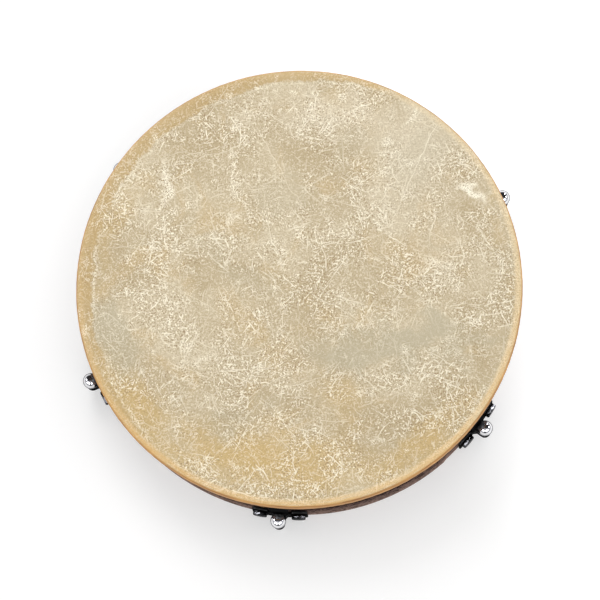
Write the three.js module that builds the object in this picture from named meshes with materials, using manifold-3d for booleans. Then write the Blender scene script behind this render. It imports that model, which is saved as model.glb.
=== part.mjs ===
// Bodhran: a tunable frame drum of nominal 16 inch size.
// Millimetres, +Z up. The drum rests on the open edge of its shell at z = 0, playing head up.
// The origin is the centre of the shell's open edge.
// Suffixes: R radius from the part's axis, Z height, 0 inner or lower, 1 outer or upper.
import * as THREE from 'three';
import { mergeVertices } from 'three/addons/utils/BufferGeometryUtils.js';
import Module from 'manifold-3d';

const wasm = await Module();
wasm.setup();

// ---------------------------------------------------------------- shared dimensions
const FACETS = 72;              // round the drum, five degrees each
const GAP = 0.3;                // between pieces that touch on the real drum
const BORE_CLEARANCE = 0.4;     // radial, round a bolt or screw
const INNER_GAP = 0.6;          // from the shell's inner face to the nuts and crossbar

const SHELL_T = 7;
const SHELL_R1 = 198.5;
const SHELL_R0 = SHELL_R1 - SHELL_T;
const SHELL_H = 88.2;           // open edge to the crest of the bearing edge
const CREST_R = 196;            // crest of the bearing edge

const HOOP_R0 = 201.3, HOOP_R1 = 202.6;
const HOOP_Z0 = 75.5, HOOP_Z1 = 83.6;

const STATION_AZIMUTHS = [26.7, 84, 144, 201.8, 264.5, 324];  // degrees, a little uneven
const BOLT_R = 208.7;           // tension bolt axis, from the drum's axis
const SHANK_R = 3;              // tension bolt shank
const EAR_Z0 = 24, EAR_Z1 = 27; // ear of the tuning ring, under the bolt head
const WASHER_Z0 = EAR_Z1 + GAP;
const WASHER_Z1 = WASHER_Z0 + 1.2;

const SCREW_DEG = 5;            // bracket bolts, either side of the tension bolt
const SCREW_Z = 24;
const SCREW_SHANK_R = 3.7;

const BAR_AZIMUTH = -6;         // between two stations
const BAR_W = 28, BAR_T = 14, BAR_Z0 = 8;
const BAR_MID_Z = BAR_Z0 + BAR_T / 2;
const BAR_SCREW_R = 2.4;
const BAR_ENDS = [0, 180];      // degrees from the bar's azimuth

// ---------------------------------------------------------------- outlines
const toVectors = points => points.map(([x, y]) => new THREE.Vector2(x, y));

function circle(radius, facets, centreX = 0) {
  return Array.from({ length: facets }, (_, i) => {
    const angle = i * 2 * Math.PI / facets;
    return [centreX + radius * Math.cos(angle), radius * Math.sin(angle)];
  });
}

const hexagon = acrossFlats => circle(acrossFlats / 2 / Math.cos(Math.PI / 6), 6);

// half circle about the tension bolt axis, bulging away from the drum
function roundEnd(radius, steps) {
  return Array.from({ length: steps + 1 }, (_, i) => {
    const angle = -Math.PI / 2 + i * Math.PI / steps;
    return [BOLT_R + radius * Math.cos(angle), radius * Math.sin(angle)];
  });
}

// ---------------------------------------------------------------- geometry
// surface of revolution about Z; the profile is (radius, z), the first facet edge is on -Y
function lathe(profile, facets = FACETS) {
  return new THREE.LatheGeometry(toVectors(profile), facets, 0).rotateX(Math.PI / 2);
}

const closedLathe = profile => lathe([...profile, profile[0]]);

const band = (r0, r1, z0, z1) => closedLathe([[r0, z0], [r1, z0], [r1, z1], [r0, z1]]);

// upright prism from an outline in x, y, with an optional hole
function prism(outline, z0, z1, hole) {
  const shape = new THREE.Shape(toVectors(outline));
  if (hole) shape.holes.push(new THREE.Path(toVectors(hole).reverse()));
  const options = { depth: z1 - z0, bevelEnabled: false, curveSegments: 1 };
  return new THREE.ExtrudeGeometry(shape, options).translate(0, 0, z0);
}

// box centred on y = 0
function block(x0, x1, halfWidth, z0, z1) {
  return new THREE.BoxGeometry(x1 - x0, 2 * halfWidth, z1 - z0)
    .translate((x0 + x1) / 2, 0, (z0 + z1) / 2);
}

// turn a part made at azimuth 0 (radial direction along +X) to an azimuth in degrees
const at = (part, azimuth) => part.clone().rotateZ(THREE.MathUtils.degToRad(azimuth));

// lay a part made along +Z from the origin on the +X radial line
const radial = (part, startR, z) => part.clone().rotateY(Math.PI / 2).translate(startR, 0, z);

// radial cylinder for cutting a hole
function boreCutter({ radius, facets, startR, length, z }) {
  return radial(prism(circle(radius, facets), 0, length), startR, z);
}

// ---------------------------------------------------------------- solids
// positions only, with coincident vertices merged
function tidy(source) {
  const bare = source.clone();
  bare.deleteAttribute('normal');
  bare.deleteAttribute('uv');
  return mergeVertices(bare, 1e-5);
}

function manifoldFrom(vertProperties, triangles) {
  const triVerts = new Uint32Array(triangles.flat());
  return new wasm.Manifold(new wasm.Mesh({ numProp: 3, vertProperties, triVerts }));
}

function solid(source) {
  const merged = tidy(source);
  const positions = merged.attributes.position.array;
  const index = merged.index.array;
  const triangles = [];
  for (let i = 0; i < index.length; i += 3) {
    const [a, b, c] = index.slice(i, i + 3);
    // merging collapses the triangles on a lathe's axis
    if (a !== b && b !== c && a !== c) triangles.push([a, b, c]);
  }
  const body = manifoldFrom(positions, triangles);
  if (body.volume() >= 0) return body;
  // the profile ran the other way, so the faces point inwards
  return manifoldFrom(positions, triangles.map(([a, b, c]) => [a, c, b]));
}

function geometryOf(body) {
  const mesh = body.getMesh();
  const result = new THREE.BufferGeometry();
  result.setAttribute('position', new THREE.BufferAttribute(mesh.vertProperties.slice(), 3));
  result.setIndex(Array.from(mesh.triVerts));
  return result;
}

// cut the same hole at each azimuth
function drill(body, cutter, azimuths) {
  return azimuths.reduce((rest, azimuth) => rest.subtract(solid(at(cutter, azimuth))), body);
}

const screwAzimuths = azimuth => [azimuth - SCREW_DEG, azimuth + SCREW_DEG];

// ---------------------------------------------------------------- materials
const standard = options => new THREE.MeshStandardMaterial(options);
const film = () => standard({ color: 0xd4c19b, roughness: 0.6, metalness: 0 });
const laminate = () => standard({ color: 0x4a403c, roughness: 0.45, metalness: 0 });
const steel = () => standard({ color: 0xb9bcc0, roughness: 0.35, metalness: 1 });
const black = () => standard({ color: 0x17181a, roughness: 0.4, metalness: 0.6 });
const chrome = () => standard({ color: 0xd8dadd, roughness: 0.08, metalness: 1 });
const wood = () => standard({ color: 0x6b4a33, roughness: 0.55, metalness: 0 });

// Cutters run a few millimetres past the faces they cut, and joined bodies overlap.

// ---------------------------------------------------------------- shell
function shell() {
  const bevel = 0.8;
  let body = solid(closedLathe([
    [SHELL_R0, bevel], [SHELL_R0 + bevel, 0], [SHELL_R1 - bevel, 0], [SHELL_R1, bevel],
    // bearing edge, from the outer face over the crest to the inner face
    [SHELL_R1, SHELL_H - 2.4], [SHELL_R1 - 0.8, SHELL_H - 0.7], [CREST_R, SHELL_H],
    [CREST_R - 1, SHELL_H - 0.4], [SHELL_R0, SHELL_H - 4.2],
  ]));
  const through = { startR: SHELL_R0 - 4, length: SHELL_T + 8 };
  const boltBore = boreCutter({
    ...through, radius: SCREW_SHANK_R + BORE_CLEARANCE, facets: 10, z: SCREW_Z,
  });
  const barBore = boreCutter({
    ...through, radius: BAR_SCREW_R + BORE_CLEARANCE, facets: 8, z: BAR_MID_Z,
  });
  body = drill(body, boltBore, STATION_AZIMUTHS.flatMap(screwAzimuths));
  body = drill(body, barBore, BAR_ENDS.map(end => BAR_AZIMUTH + end));
  return geometryOf(body);
}

// ---------------------------------------------------------------- head
const HEAD_Z = 89;              // top of the playing head
const FILM_T = 0.5;
const FLAT_R = 196.8;           // edge of the flat playing area
const COLLAR_R = 203.4;         // outer radius of the collar
const COLLAR_Z = 74.6;          // lower end of the collar
const COLLAR_LIP_R = 201.5;     // inner edge of the collar's inturned foot

function headFilm() {
  const collarInnerR = COLLAR_R - FILM_T;
  return lathe([
    // underside, from the centre out and down the collar
    [0, HEAD_Z - FILM_T], [FLAT_R, HEAD_Z - FILM_T], [199.8, HEAD_Z - 1.2],
    [201.9, HEAD_Z - 2.3], [collarInnerR, HEAD_Z - 4], [collarInnerR, COLLAR_Z + FILM_T],
    [COLLAR_LIP_R, COLLAR_Z + FILM_T],
    // outer surface, back up to the centre
    [COLLAR_LIP_R, COLLAR_Z], [COLLAR_R - 0.4, COLLAR_Z], [COLLAR_R, COLLAR_Z + 0.4],
    [COLLAR_R, HEAD_Z - 3.8], [202.3, HEAD_Z - 1.9], [200, HEAD_Z - 0.7],
    [FLAT_R, HEAD_Z], [0, HEAD_Z],
  ]);
}

// hoop inside the head's collar
const fleshHoop = () => band(HOOP_R0, HOOP_R1, HOOP_Z0, HOOP_Z1);

// ---------------------------------------------------------------- tuning ring
const RING_R0 = 199.3, RING_R1 = 201;
const RING_Z0 = 56, RING_Z1 = 85.2;
const LIP_R = 202.2;            // lip that bears on the flesh hoop
const TAB_W = 17;               // tab running down to each tension bolt
const EAR_W = 12.4;             // ear at the foot of the tab
const EAR_HOLE_R = 3.5;

function tuningRing() {
  let ring = solid(closedLathe([
    [RING_R0, RING_Z0], [RING_R1, RING_Z0], [RING_R1, HOOP_Z1 - 0.1], [LIP_R, HOOP_Z1 + GAP],
    [LIP_R, RING_Z1], [RING_R0, RING_Z1],
  ]));
  const tabBand = solid(band(RING_R0, RING_R1, EAR_Z0, RING_Z0 + 1));
  const tabBlock = block(RING_R0 - 4, RING_R1 + 4, TAB_W / 2, EAR_Z0 - 1, RING_Z0 + 2);

  const half = EAR_W / 2;
  const rootR = RING_R0 + 0.6;
  const outline = [[rootR, -half], ...roundEnd(half, 8), [rootR, half]];
  const ear = prism(outline, EAR_Z0, EAR_Z1, circle(EAR_HOLE_R, 10, BOLT_R));

  for (const azimuth of STATION_AZIMUTHS) {
    const tab = tabBand.intersect(solid(at(tabBlock, azimuth)));
    ring = ring.add(tab).add(solid(at(ear, azimuth)));
  }
  return geometryOf(ring);
}

// ---------------------------------------------------------------- lug bracket
const PLATE_R0 = 198.9, PLATE_R1 = 200.8;
const PLATE_HALF = 25.5;        // half its length along the shell
const PLATE_Z0 = 5, PLATE_Z1 = 34;
const NOTCH_HALF = 10.5, NOTCH_Z = 20;    // notch that clears the tab
const BOSS_R = 5.5, BOSS_Z0 = 13, BOSS_Z1 = 22;
const BOSS_ROOT = 8.2;          // half width of the boss at the plate
const INSERT_R = 4.2;           // threaded insert in the boss
const INSERT_RECESS = 0.8;      // below each end of the boss

// curved plate with a notch, and the boss that holds the threaded insert
function lugBracket(azimuth) {
  const place = part => solid(at(part, azimuth));
  const plateBlock = block(PLATE_R0 - 10, PLATE_R1 + 10, PLATE_HALF, PLATE_Z0 - 1, PLATE_Z1 + 1);
  const notch = block(PLATE_R0 - 6, PLATE_R1 + 6, NOTCH_HALF, NOTCH_Z, PLATE_Z1 + 2);
  // one flank of the boss, (radius, half width) outwards from the plate
  const flank = [
    [PLATE_R1 - 1.2, BOSS_ROOT], [PLATE_R1 + 0.8, BOSS_ROOT - 0.6], [PLATE_R1 + 3.2, BOSS_R],
  ];
  const bossOutline = [
    ...flank.map(([x, y]) => [x, -y]),
    ...roundEnd(BOSS_R, 12),
    ...flank.toReversed(),
  ];
  const insertBore = prism(circle(INSERT_R + GAP, 20, BOLT_R), BOSS_Z0 - 1, BOSS_Z1 + 1);
  const boltBore = boreCutter({
    radius: SCREW_SHANK_R + BORE_CLEARANCE, facets: 10,
    startR: PLATE_R0 - 5, length: 12, z: SCREW_Z,
  });
  const body = solid(band(PLATE_R0, PLATE_R1, PLATE_Z0, PLATE_Z1))
    .intersect(place(plateBlock))
    .subtract(place(notch))
    .add(place(prism(bossOutline, BOSS_Z0, BOSS_Z1)))
    .subtract(place(insertBore));
  return geometryOf(drill(body, boltBore, screwAzimuths(azimuth)));
}

// ---------------------------------------------------------------- tension bolt
const WASHER_R = 6.1;
const HEX_AF = 12;              // across flats
const HEX_Z0 = WASHER_Z1 + GAP;
const HEX_Z1 = HEX_Z0 + 4.8;
const SHANK_Z0 = 6;
const DOME_R = 7.2, DOME_Z = 40.6;

// ring round the tension bolt's shank
function sleeve(azimuth, radius, facets, z0, z1) {
  const hole = circle(SHANK_R + BORE_CLEARANCE, 10, BOLT_R);
  return tidy(at(prism(circle(radius, facets, BOLT_R), z0, z1, hole), azimuth));
}

const lugInsert = azimuth =>
  sleeve(azimuth, INSERT_R, 20, BOSS_Z0 + INSERT_RECESS, BOSS_Z1 - INSERT_RECESS);
const tensionWasher = azimuth => sleeve(azimuth, WASHER_R, 14, WASHER_Z0, WASHER_Z1);

// shank, hex and acorn dome as one body
function tensionBolt(azimuth) {
  const shank = lathe([
    [0, SHANK_Z0], [SHANK_R - 0.6, SHANK_Z0], [SHANK_R, SHANK_Z0 + 0.8],
    [SHANK_R, HEX_Z0 + 1], [0, HEX_Z0 + 1],
  ], 10);
  const hex = prism(hexagon(HEX_AF), HEX_Z0, HEX_Z1);
  const dome = lathe([
    [0, HEX_Z1 - 1], [DOME_R, HEX_Z1 - 1], [DOME_R, HEX_Z1 + 0.6],
    [DOME_R * 0.9, HEX_Z1 + 2.8], [DOME_R * 0.62, HEX_Z1 + 4.6],
    [DOME_R * 0.3, DOME_Z - 0.2], [0, DOME_Z],
  ], 14);
  const body = solid(shank).add(solid(hex)).add(solid(dome));
  return at(geometryOf(body).translate(BOLT_R, 0, 0), azimuth);
}

// ---------------------------------------------------------------- bracket bolts and nuts
const SCREW_HEAD_R = PLATE_R1 + GAP;      // underside of the hex head
const SCREW_AF = 12.6, SCREW_HEAD_H = 4.1;
const SCREW_TIP_R = SHELL_R0 - 8.5;
const NUT_AF = 13, NUT_H = 6;

// bolt through bracket and shell, its head outside
function bracketBolt(azimuth) {
  const length = SCREW_HEAD_R + 1 - SCREW_TIP_R;
  const shank = lathe([[0, 0], [SCREW_SHANK_R, 0], [SCREW_SHANK_R, length], [0, length]], 10);
  const head = prism(hexagon(SCREW_AF), 0, SCREW_HEAD_H);
  const body = solid(radial(shank, SCREW_TIP_R, SCREW_Z))
    .add(solid(radial(head, SCREW_HEAD_R, SCREW_Z)));
  return at(geometryOf(body), azimuth);
}

// nut inside the shell
function bracketNut(azimuth) {
  const nut = prism(hexagon(NUT_AF), 0, NUT_H, circle(SCREW_SHANK_R + BORE_CLEARANCE, 10));
  return at(tidy(radial(nut, SHELL_R0 - INNER_GAP - NUT_H, SCREW_Z)), azimuth);
}

// ---------------------------------------------------------------- crossbar
function crossbar() {
  const half = BAR_W / 2;
  const chamfer = 2.2;
  const roughHalf = SHELL_R0 + 0.4;       // half length before the ends are trimmed
  // (across, up), run along the bar
  const section = [
    [-half + chamfer, 0], [half - chamfer, 0], [half, chamfer], [half, BAR_T - chamfer],
    [half - chamfer, BAR_T], [-half + chamfer, BAR_T], [-half, BAR_T - chamfer],
    [-half, chamfer],
  ];
  const blank = prism(section, -roughHalf, roughHalf)
    .rotateX(Math.PI / 2)
    .rotateZ(Math.PI / 2)
    .translate(0, 0, BAR_Z0);
  // the ends follow the shell, facet for facet once the bar is turned
  const inside = at(prism(circle(SHELL_R0 - INNER_GAP, FACETS), 0, 60), -BAR_AZIMUTH);
  const bore = boreCutter({
    radius: BAR_SCREW_R + BORE_CLEARANCE, facets: 8,
    startR: SHELL_R0 - 22, length: 26, z: BAR_MID_Z,
  });
  const body = drill(solid(blank).intersect(solid(inside)), bore, BAR_ENDS);
  return at(geometryOf(body), BAR_AZIMUTH);
}

// screw through the shell into the bar's end
function crossbarScrew(azimuth) {
  const length = 28.5;
  const shank = lathe([[0, 0], [BAR_SCREW_R, 1.2], [BAR_SCREW_R, length], [0, length]], 8);
  const head = lathe([[0, 0], [4.6, 0], [4.2, 1.6], [2.2, 2.7], [0, 3]], 10);
  const body = solid(radial(shank, SHELL_R0 - 21, BAR_MID_Z))
    .add(solid(radial(head, SHELL_R1 + 0.35, BAR_MID_Z)));
  return at(geometryOf(body), azimuth);
}

// ---------------------------------------------------------------- assembly
const root = new THREE.Group();

function add(name, part, material, parent = root) {
  const mesh = new THREE.Mesh(part, material);
  mesh.name = name;
  parent.add(mesh);
}

function addStation(azimuth, i) {
  const n = i + 1;
  const station = new THREE.Group();
  root.add(station);
  add(`lug_bracket_${n}`, lugBracket(azimuth), black(), station);
  add(`lug_insert_${n}`, lugInsert(azimuth), steel(), station);
  add(`tension_washer_${n}`, tensionWasher(azimuth), steel(), station);
  add(`tension_bolt_${n}`, tensionBolt(azimuth), chrome(), station);
  screwAzimuths(azimuth).forEach((screwAzimuth, side) => {
    const tag = `${n}${'ab'[side]}`;
    add(`bracket_bolt_${tag}`, bracketBolt(screwAzimuth), black(), station);
    add(`bracket_nut_${tag}`, bracketNut(screwAzimuth), steel(), station);
  });
}

add('shell', shell(), laminate());
add('head_film', headFilm(), film());
add('flesh_hoop', fleshHoop(), steel());
add('tuning_ring', tuningRing(), black());
STATION_AZIMUTHS.forEach(addStation);
add('crossbar', crossbar(), wood());
BAR_ENDS.forEach((end, i) => {
  add(`crossbar_screw_${i + 1}`, crossbarScrew(BAR_AZIMUTH + end), steel());
});

export default root;
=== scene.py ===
# A tunable bodhran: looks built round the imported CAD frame. Lengths are millimetres in the helpers and metres in Blender.
import math

import bpy
import bmesh
from mathutils import Matrix, Vector, noise


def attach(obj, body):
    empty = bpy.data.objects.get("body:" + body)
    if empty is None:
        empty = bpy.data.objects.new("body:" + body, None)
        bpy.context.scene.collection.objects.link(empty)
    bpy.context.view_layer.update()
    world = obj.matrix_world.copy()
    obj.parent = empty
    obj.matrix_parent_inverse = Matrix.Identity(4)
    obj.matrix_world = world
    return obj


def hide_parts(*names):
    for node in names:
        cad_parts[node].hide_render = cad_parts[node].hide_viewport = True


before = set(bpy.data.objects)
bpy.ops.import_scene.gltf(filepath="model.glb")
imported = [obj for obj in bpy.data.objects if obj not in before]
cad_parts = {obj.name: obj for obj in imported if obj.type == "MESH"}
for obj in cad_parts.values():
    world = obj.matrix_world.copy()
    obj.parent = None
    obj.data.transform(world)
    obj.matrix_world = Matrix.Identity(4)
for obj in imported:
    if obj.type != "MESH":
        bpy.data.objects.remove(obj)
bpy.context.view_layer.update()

SCENE = bpy.context.scene
COLL = SCENE.collection
MM = 0.001
PI = math.pi
rad = math.radians

# ------------------------------------------------------------------ sizes, millimetres (as the CAD has them)
SHELL_R, SHELL_T, SHELL_H, CREST_R = 198.5, 7.0, 88.2, 196.0
HEAD_Z, COLLAR_R, COLLAR_Z, FILM_T = 89.0, 203.4, 74.6, 0.5
RING_R0, RING_R1, RING_Z0, RING_Z1, LIP_R = 199.3, 201.0, 56.0, 85.2, 202.2
EAR_Z0, EAR_Z1, EAR_W, TAB_W = 24.0, 27.0, 12.4, 17.0
BOLT_R, SHANK_R = 208.7, 3.0
HEX_AF, HEX_Z0, HEX_Z1, DOME_Z, DOME_R = 12.0, 28.8, 33.6, 40.6, 7.2
PLATE_R0, PLATE_R1, PLATE_HALF, PLATE_Z0, PLATE_Z1 = 198.9, 200.8, 25.5, 5.0, 34.0
NOTCH_HALF, NOTCH_Z = 10.5, 20.0
BOSS_Z0, BOSS_Z1, BOSS_R, BOSS_ROOT = 13.0, 22.0, 5.5, 8.2
INSERT_R, INSERT_Z0, INSERT_Z1 = 4.2, 13.8, 21.2
SCREW_Z, SCREW_DEG, SCREW_AF, SCREW_H = 24.0, 5.0, 12.6, 4.1
SCREW_R0 = PLATE_R1 + 0.3
STATIONS = [26.7, 84.0, 144.0, 201.8, 264.5, 324.0]
BAR_W, BAR_T, BAR_Z0, BAR_AZ = 28.0, 14.0, 8.0, -6.0
SEAM_AZ = -47.6
SEG = 288


# ------------------------------------------------------------------ mesh helpers
def obj_from(name, verts, faces, angle=32.0):
    me = bpy.data.meshes.new(name)
    me.from_pydata([(x * MM, y * MM, z * MM) for x, y, z in verts], [], faces)
    me.validate()
    ob = bpy.data.objects.new(name, me)
    COLL.objects.link(ob)
    fix_normals(ob)
    shade(ob, angle)
    return ob


def fix_normals(ob):
    bm = bmesh.new(); bm.from_mesh(ob.data)
    bmesh.ops.remove_doubles(bm, verts=bm.verts, dist=1e-7)
    bmesh.ops.recalc_face_normals(bm, faces=bm.faces)
    bm.to_mesh(ob.data); bm.free()


def shade(ob, angle=32.0):
    me = ob.data
    me.polygons.foreach_set("use_smooth", [True] * len(me.polygons))
    me.set_sharp_from_angle(angle=rad(angle))
    me.update()


def fillet(pts, n=4):
    """Closed outline with rounded corners: each point is (x, y) or (x, y, radius)."""
    out = []
    m = len(pts)
    for i in range(m):
        p = Vector(pts[i][:2]); r = pts[i][2] if len(pts[i]) > 2 else 0.0
        a = Vector(pts[i - 1][:2]) - p; b = Vector(pts[(i + 1) % m][:2]) - p
        if r <= 0:
            out.append((p.x, p.y)); continue
        ang = a.angle(b)
        t = min(r / math.tan(ang / 2), a.length * 0.49, b.length * 0.49)
        r = t * math.tan(ang / 2)
        a.normalize(); b.normalize()
        c = p + (a + b).normalized() * (r / math.sin(ang / 2))
        s, e = p + a * t - c, p + b * t - c
        sweep = s.angle_signed(e)
        for k in range(n + 1):
            v = s.copy(); v.rotate(Matrix.Rotation(-sweep * k / n, 2))
            out.append((c.x + v.x, c.y + v.y))
    return out


def lathe(name, prof, seg=SEG, closed=True, off=None, angle=32.0):
    """Profile of (radius, z). off(azimuth, r, z) -> (dr, dz) moves a point."""
    verts, rings, faces = [], [], []
    for r, z in prof:
        if r < 1e-6:
            verts.append((0.0, 0.0, z)); rings.append([len(verts) - 1]); continue
        ring = []
        for i in range(seg):
            a = 2 * PI * i / seg
            rr, zz = r, z
            if off:
                d = off(a, r, z); rr += d[0]; zz += d[1]
            ring.append(len(verts)); verts.append((rr * math.cos(a), rr * math.sin(a), zz))
        rings.append(ring)
    pairs = list(zip(rings, rings[1:]))
    if closed:
        pairs.append((rings[-1], rings[0]))
    for A, B in pairs:
        if len(A) == 1 and len(B) == 1:
            continue
        for i in range(seg):
            j = (i + 1) % seg
            if len(A) == 1:
                faces.append((A[0], B[i], B[j]))
            elif len(B) == 1:
                faces.append((A[i], A[j], B[0]))
            else:
                faces.append((A[i], A[j], B[j], B[i]))
    return obj_from(name, verts, faces, angle)


def prism(name, outline, z0, z1, bevel=0.0, n=3, angle=32.0):
    """Outline in x, y raised from z0 to z1, its top and bottom edges rounded."""
    bm = bmesh.new()
    vs = [bm.verts.new((x * MM, y * MM, z0 * MM)) for x, y in outline]
    f = bm.faces.new(vs)
    r = bmesh.ops.extrude_face_region(bm, geom=[f])
    top = [v for v in r["geom"] if isinstance(v, bmesh.types.BMVert)]
    bmesh.ops.translate(bm, verts=top, vec=(0, 0, (z1 - z0) * MM))
    bmesh.ops.recalc_face_normals(bm, faces=bm.faces)
    if bevel > 0:
        edges = [e for e in bm.edges if len(e.link_faces) == 2 and abs(e.verts[0].co.z - e.verts[1].co.z) < 1e-9]
        bmesh.ops.bevel(bm, geom=edges, offset=bevel * MM, segments=n, profile=0.5, affect="EDGES", clamp_overlap=True)
    me = bpy.data.meshes.new(name); bm.to_mesh(me); bm.free()
    ob = bpy.data.objects.new(name, me); COLL.objects.link(ob)
    fix_normals(ob); shade(ob, angle)
    return ob


def circle(cx, cy, r, n=32, a0=0.0):
    return [(cx + r * math.cos(a0 + 2 * PI * i / n), cy + r * math.sin(a0 + 2 * PI * i / n)) for i in range(n)]


def hexagon(af, a0=0.0):
    return circle(0, 0, af / 2 / math.cos(PI / 6), 6, a0)


def turn(ob, m):
    ob.data.transform(m); ob.data.update(); return ob


def radial_z(ob, r0, z):
    """Made along +Z from the origin: laid along +X from radius r0 at height z."""
    return turn(ob, Matrix.Translation((r0 * MM, 0, z * MM)) @ Matrix.Rotation(PI / 2, 4, "Y"))


def boolean(ob, others, op, angle=32.0, solver="EXACT"):
    for o in others:
        m = ob.modifiers.new("b", "BOOLEAN")
        m.operation = op; m.solver = solver; m.object = o
    dg = bpy.context.evaluated_depsgraph_get()
    me = bpy.data.meshes.new_from_object(ob.evaluated_get(dg), depsgraph=dg)
    ob.modifiers.clear()
    ob.data = me
    for o in others:
        bpy.data.objects.remove(o, do_unlink=True)
    bm = bmesh.new(); bm.from_mesh(me)
    bmesh.ops.dissolve_degenerate(bm, dist=2e-7, edges=bm.edges)
    bm.to_mesh(me); bm.free()
    shade(ob, angle)
    return ob


def bend_plate(name, outline, r0, r1, bevel=0.35, step=2.5, holes=()):
    """Flat outline in (tangential, height), thick from r0 to r1, bent round the drum at azimuth 0."""
    t = r1 - r0
    ob = prism(name, outline, 0, t, bevel, 2)
    if holes:
        boolean(ob, [prism("cut", circle(y, z, r, 28), -2, t + 2) for y, z, r in holes], "DIFFERENCE")
    bm = bmesh.new(); bm.from_mesh(ob.data)
    lo = min(v.co.x for v in bm.verts); hi = max(v.co.x for v in bm.verts)
    x = math.ceil(lo / (step * MM)) * step * MM
    while x < hi:
        bmesh.ops.bisect_plane(bm, geom=bm.verts[:] + bm.edges[:] + bm.faces[:], plane_co=(x, 0, 0), plane_no=(1, 0, 0), dist=1e-7)
        x += step * MM
    rm = (r0 + r1) / 2 * MM
    for v in bm.verts:
        y, z, d = v.co.x, v.co.y, v.co.z
        r = r0 * MM + d; a = y / rm
        v.co = (r * math.cos(a), r * math.sin(a), z)
    bmesh.ops.recalc_face_normals(bm, faces=bm.faces)
    bm.to_mesh(ob.data); bm.free()
    shade(ob)
    return ob


def copies(src, names, angles, body, nodes, mat):
    """One object for each name, turned about the drum's axis; each has its own copy of the mesh."""
    src.data.materials.clear(); src.data.materials.append(mat)
    me = src.data
    bpy.data.objects.remove(src, do_unlink=True)
    out = []
    for i, (nm, a) in enumerate(zip(names, angles)):
        m = me.copy(); m.transform(Matrix.Rotation(rad(a), 4, "Z"))
        ob = bpy.data.objects.new(nm, m); COLL.objects.link(ob)
        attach(ob, body[i] if isinstance(body, list) else body)
        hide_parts(nodes[i])
        out.append(ob)
    return out


def place(ob, name, body, slot, mat, *nodes):
    ob.name = name; ob.data.name = name
    ob.data.materials.clear(); ob.data.materials.append(mat)
    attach(ob, body)
    if nodes:
        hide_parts(*nodes)
    return ob


# ------------------------------------------------------------------ node helpers
def lin(r, g, b):
    def f(c):
        c /= 255.0
        return c / 12.92 if c <= 0.04045 else ((c + 0.055) / 1.055) ** 2.4
    return (f(r), f(g), f(b), 1.0)


class Tree:
    def __init__(self, tree):
        self.t = tree; self.n = tree.nodes; self.x = 0

    def new(self, kind, **props):
        nd = self.n.new(kind); nd.location = (self.x, -200 * (len(self.n) % 6)); self.x += 60
        for k, v in props.items():
            setattr(nd, k, v)
        return nd

    def put(self, sock, v):
        if isinstance(v, bpy.types.NodeSocket):
            self.t.links.new(v, sock)
        elif v is not None:
            if sock.type == "RGBA" and not hasattr(v, "__len__"):
                v = (v, v, v, 1)
            if sock.type == "VECTOR" and hasattr(v, "__len__"):
                v = v[:3]
            sock.default_value = v

    def math(self, op, a, b=None, c=None, clamp=False):
        nd = self.new("ShaderNodeMath", operation=op, use_clamp=clamp)
        self.put(nd.inputs[0], a)
        if b is not None: self.put(nd.inputs[1], b)
        if c is not None: self.put(nd.inputs[2], c)
        return nd.outputs[0]

    def vmath(self, op, a, b=None, scale=None):
        nd = self.new("ShaderNodeVectorMath", operation=op)
        self.put(nd.inputs[0], a)
        if b is not None: self.put(nd.inputs[1], b)
        if scale is not None: self.put(nd.inputs["Scale"], scale)
        return nd.outputs["Value"] if op in ("LENGTH", "DOT_PRODUCT", "DISTANCE") else nd.outputs[0]

    def noise(self, vec, scale, detail=2.0, rough=0.5, dist=0.0, dims="3D", color=False):
        nd = self.new("ShaderNodeTexNoise", noise_dimensions=dims)
        self.put(nd.inputs["Vector"], vec)
        nd.inputs["Scale"].default_value = scale
        nd.inputs["Detail"].default_value = detail
        nd.inputs["Roughness"].default_value = rough
        nd.inputs["Distortion"].default_value = dist
        return nd.outputs["Color"] if color else nd.outputs[0]

    def smooth(self, v, a, b, lo=0.0, hi=1.0):
        nd = self.new("ShaderNodeMapRange", interpolation_type="SMOOTHSTEP")
        self.put(nd.inputs["Value"], v)
        self.put(nd.inputs["From Min"], a); self.put(nd.inputs["From Max"], b)
        self.put(nd.inputs["To Min"], lo); self.put(nd.inputs["To Max"], hi)
        return nd.outputs["Result"]

    def line(self, v, a, b, lo=0.0, hi=1.0):
        nd = self.new("ShaderNodeMapRange")
        self.put(nd.inputs["Value"], v)
        self.put(nd.inputs["From Min"], a); self.put(nd.inputs["From Max"], b)
        self.put(nd.inputs["To Min"], lo); self.put(nd.inputs["To Max"], hi)
        return nd.outputs["Result"]

    def mix(self, fac, a, b, mode="MIX"):
        nd = self.new("ShaderNodeMix", data_type="RGBA", blend_type=mode)
        self.put(nd.inputs[0], fac); self.put(nd.inputs[6], a); self.put(nd.inputs[7], b)
        return nd.outputs[2]

    def coords(self):
        return self.vmath("SCALE", self.new("ShaderNodeTexCoord").outputs["Object"], scale=1000.0)

    def sep(self, v):
        nd = self.new("ShaderNodeSeparateXYZ"); self.put(nd.inputs[0], v); return nd.outputs

    def comb(self, x, y, z=0.0):
        nd = self.new("ShaderNodeCombineXYZ")
        for s, v in zip(nd.inputs, (x, y, z)): self.put(s, v)
        return nd.outputs[0]

    def group(self, g, **inp):
        nd = self.new("ShaderNodeGroup"); nd.node_tree = g
        for k, v in inp.items(): self.put(nd.inputs[k], v)
        return nd.outputs[0]


def material(name):
    m = bpy.data.materials.new(name); m.use_nodes = True
    m.node_tree.nodes.clear()
    t = Tree(m.node_tree)
    bsdf = t.new("ShaderNodeBsdfPrincipled"); out = t.new("ShaderNodeOutputMaterial")
    t.t.links.new(bsdf.outputs[0], out.inputs[0])
    return m, t, bsdf


def bump(t, bsdf, height, strength, dist):
    nd = t.new("ShaderNodeBump")
    nd.inputs["Strength"].default_value = strength; nd.inputs["Distance"].default_value = dist * MM
    t.put(nd.inputs["Height"], height); t.put(bsdf.inputs["Normal"], nd.outputs[0])


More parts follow.
